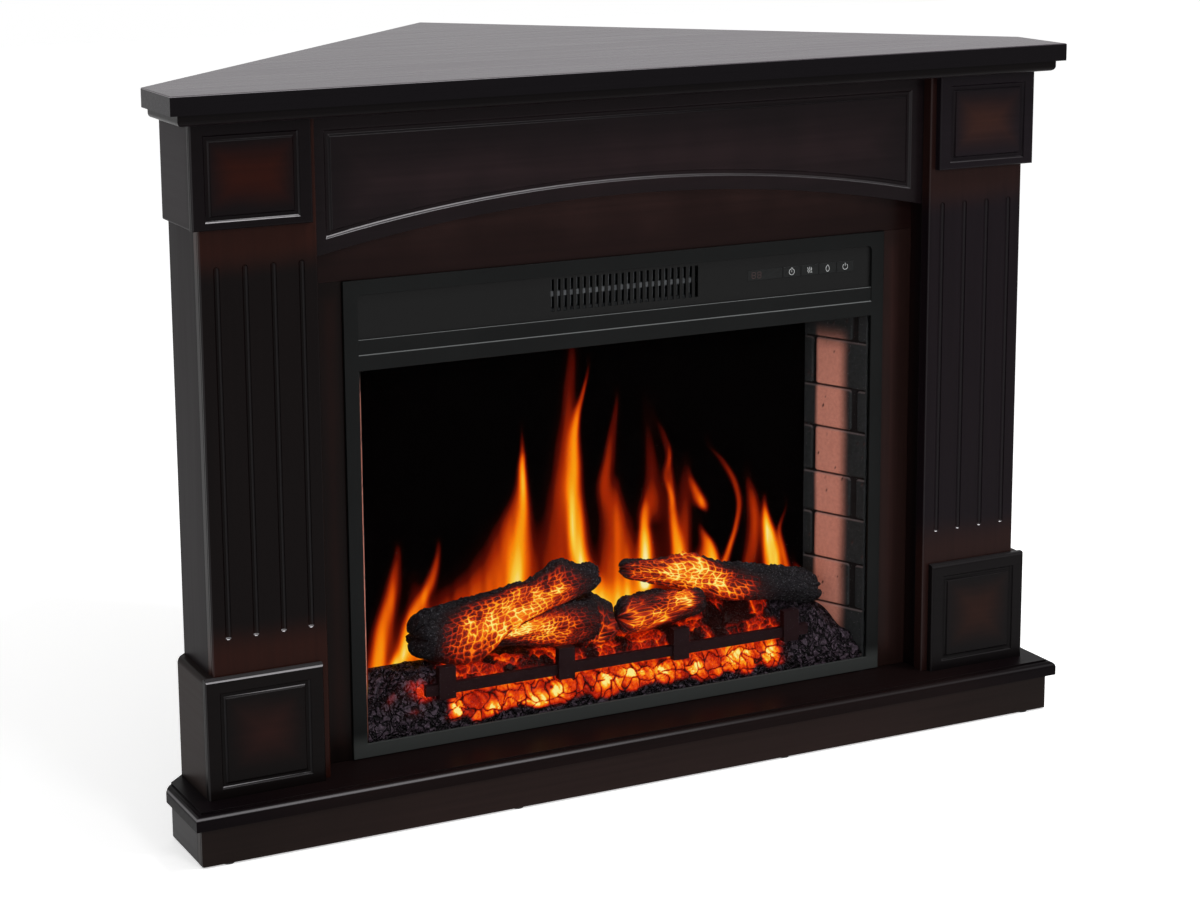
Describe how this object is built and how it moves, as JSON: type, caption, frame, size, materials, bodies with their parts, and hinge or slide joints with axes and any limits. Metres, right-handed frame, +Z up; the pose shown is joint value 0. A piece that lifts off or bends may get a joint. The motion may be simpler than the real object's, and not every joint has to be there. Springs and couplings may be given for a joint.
{
  "type": "corner fireplace",
  "caption": "Corner electric fireplace: dark wooden corner mantel with fluted pilasters, arched frieze and plinth round a glazed firebox with logs, heater outlet and keys.",
  "frame": {"origin": "middle of the footprint's box, on the floor", "axes": "+Z up, the front looks along -Y, the corner of the room is at +Y, +X to the right seen from the front"},
  "size_m": [1.15, 0.68, 0.854],
  "materials": {
    "espresso_wood": "dark espresso stain under satin lacquer, slightly redder in the middle of each board",
    "stained_board": "dark stained board, satin",
    "frame_timber": "unfinished softwood",
    "black_sheet_steel": "matte charcoal powder coat",
    "black_plastic": "fine matte texture",
    "window_glass": "clear tempered glass",
    "screw_steel": "zinc plated",
    "moulded_brick": "moulded and painted brick pattern with mortar joints",
    "screen_plastic": "smoked diffusing screen",
    "ember_resin": "translucent resin painted as coals, lit from under",
    "log_resin": "charred bark with glowing cracks",
    "grate_plastic": "satin black",
    "bright_foil": "bright foil on a steel shaft",
    "motor_steel": "zinc plated case",
    "sintered_brass": "sintered bearing metal",
    "lamp_plastic": "white strip with lamps",
    "circuit_board": "green solder mask",
    "heater_fins": "bare fins",
    "wheel_aluminium": "bare blades",
    "display_plastic": "dark display window",
    "key_plastic": "flat key with a printed symbol",
    "glide_plastic": "black glides",
    "gland_rubber": "black strain relief"
  },
  "bodies": {
    "root": {"shelf_board": "espresso_wood", "under_board": "espresso_wood", "frieze_board": "espresso_wood", "header_board": "stained_board", "left_stile": "stained_board", "right_stile": "stained_board", "left_pilaster_front": "espresso_wood", "right_pilaster_front": "espresso_wood", "left_pilaster_side": "espresso_wood", "right_pilaster_side": "espresso_wood", "pilaster_returns": "espresso_wood", "left_cap_block": "espresso_wood", "right_cap_block": "espresso_wood", "cap_returns": "espresso_wood", "left_base_block": "espresso_wood", "right_base_block": "espresso_wood", "base_returns": "espresso_wood", "plinth_board": "espresso_wood", "plinth_front": "espresso_wood", "plinth_sides": "espresso_wood", "plinth_backs": "espresso_wood", "plinth_bearers": "frame_timber", "floor_glides": "glide_plastic", "corner_post": "frame_timber", "left_top_rail": "frame_timber", "right_top_rail": "frame_timber", "glue_blocks": "frame_timber", "insert_frame": "black_sheet_steel", "control_fascia": "black_plastic", "glass_pane": "window_glass", "casing_floor": "black_sheet_steel", "casing_roof": "black_sheet_steel", "left_casing": "black_sheet_steel", "right_casing": "black_sheet_steel", "casing_back": "black_sheet_steel", "casing_screws": "screw_steel", "heater_shelf": "black_sheet_steel", "left_brick_wall": "moulded_brick", "right_brick_wall": "moulded_brick", "flame_screen": "screen_plastic", "ember_bed": "ember_resin", "left_log": "log_resin", "right_log": "log_resin", "small_logs": "log_resin", "grate": "grate_plastic", "rotor_motor": "motor_steel", "bearing_bushes": "sintered_brass", "led_strips": "lamp_plastic", "heater_element": "heater_fins", "blower_housing": "black_sheet_steel", "blower_motor": "motor_steel", "control_board": "circuit_board", "display_window": "display_plastic", "cord_gland": "gland_rubber"},
    "timer_key": {"timer_key": "key_plastic"},
    "heat_key": {"heat_key": "key_plastic"},
    "flame_key": {"flame_key": "key_plastic"},
    "power_key": {"power_key": "key_plastic"},
    "flame_rotor": {"flame_rotor": "bright_foil"},
    "blower_wheel": {"blower_wheel": "wheel_aluminium"}
  },
  "joints": [
    {"name": "timer_key_press", "type": "slide", "parent": "root", "child": "timer_key", "axis": [0, 1, 0], "range_m": [0, 0.0008], "stiffness_N_per_m": 400},
    {"name": "heat_key_press", "type": "slide", "parent": "root", "child": "heat_key", "axis": [0, 1, 0], "range_m": [0, 0.0008], "stiffness_N_per_m": 400},
    {"name": "flame_key_press", "type": "slide", "parent": "root", "child": "flame_key", "axis": [0, 1, 0], "range_m": [0, 0.0008], "stiffness_N_per_m": 400},
    {"name": "power_key_press", "type": "slide", "parent": "root", "child": "power_key", "axis": [0, 1, 0], "range_m": [0, 0.0008], "stiffness_N_per_m": 400},
    {"name": "flame_rotor_spin", "type": "hinge", "parent": "root", "child": "flame_rotor", "pos_m": [0, -0.1295, 0.118], "axis": [1, 0, 0], "continuous": true},
    {"name": "blower_spin", "type": "hinge", "parent": "root", "child": "blower_wheel", "pos_m": [0, -0.1975, 0.588], "axis": [1, 0, 0], "continuous": true}
  ]
}
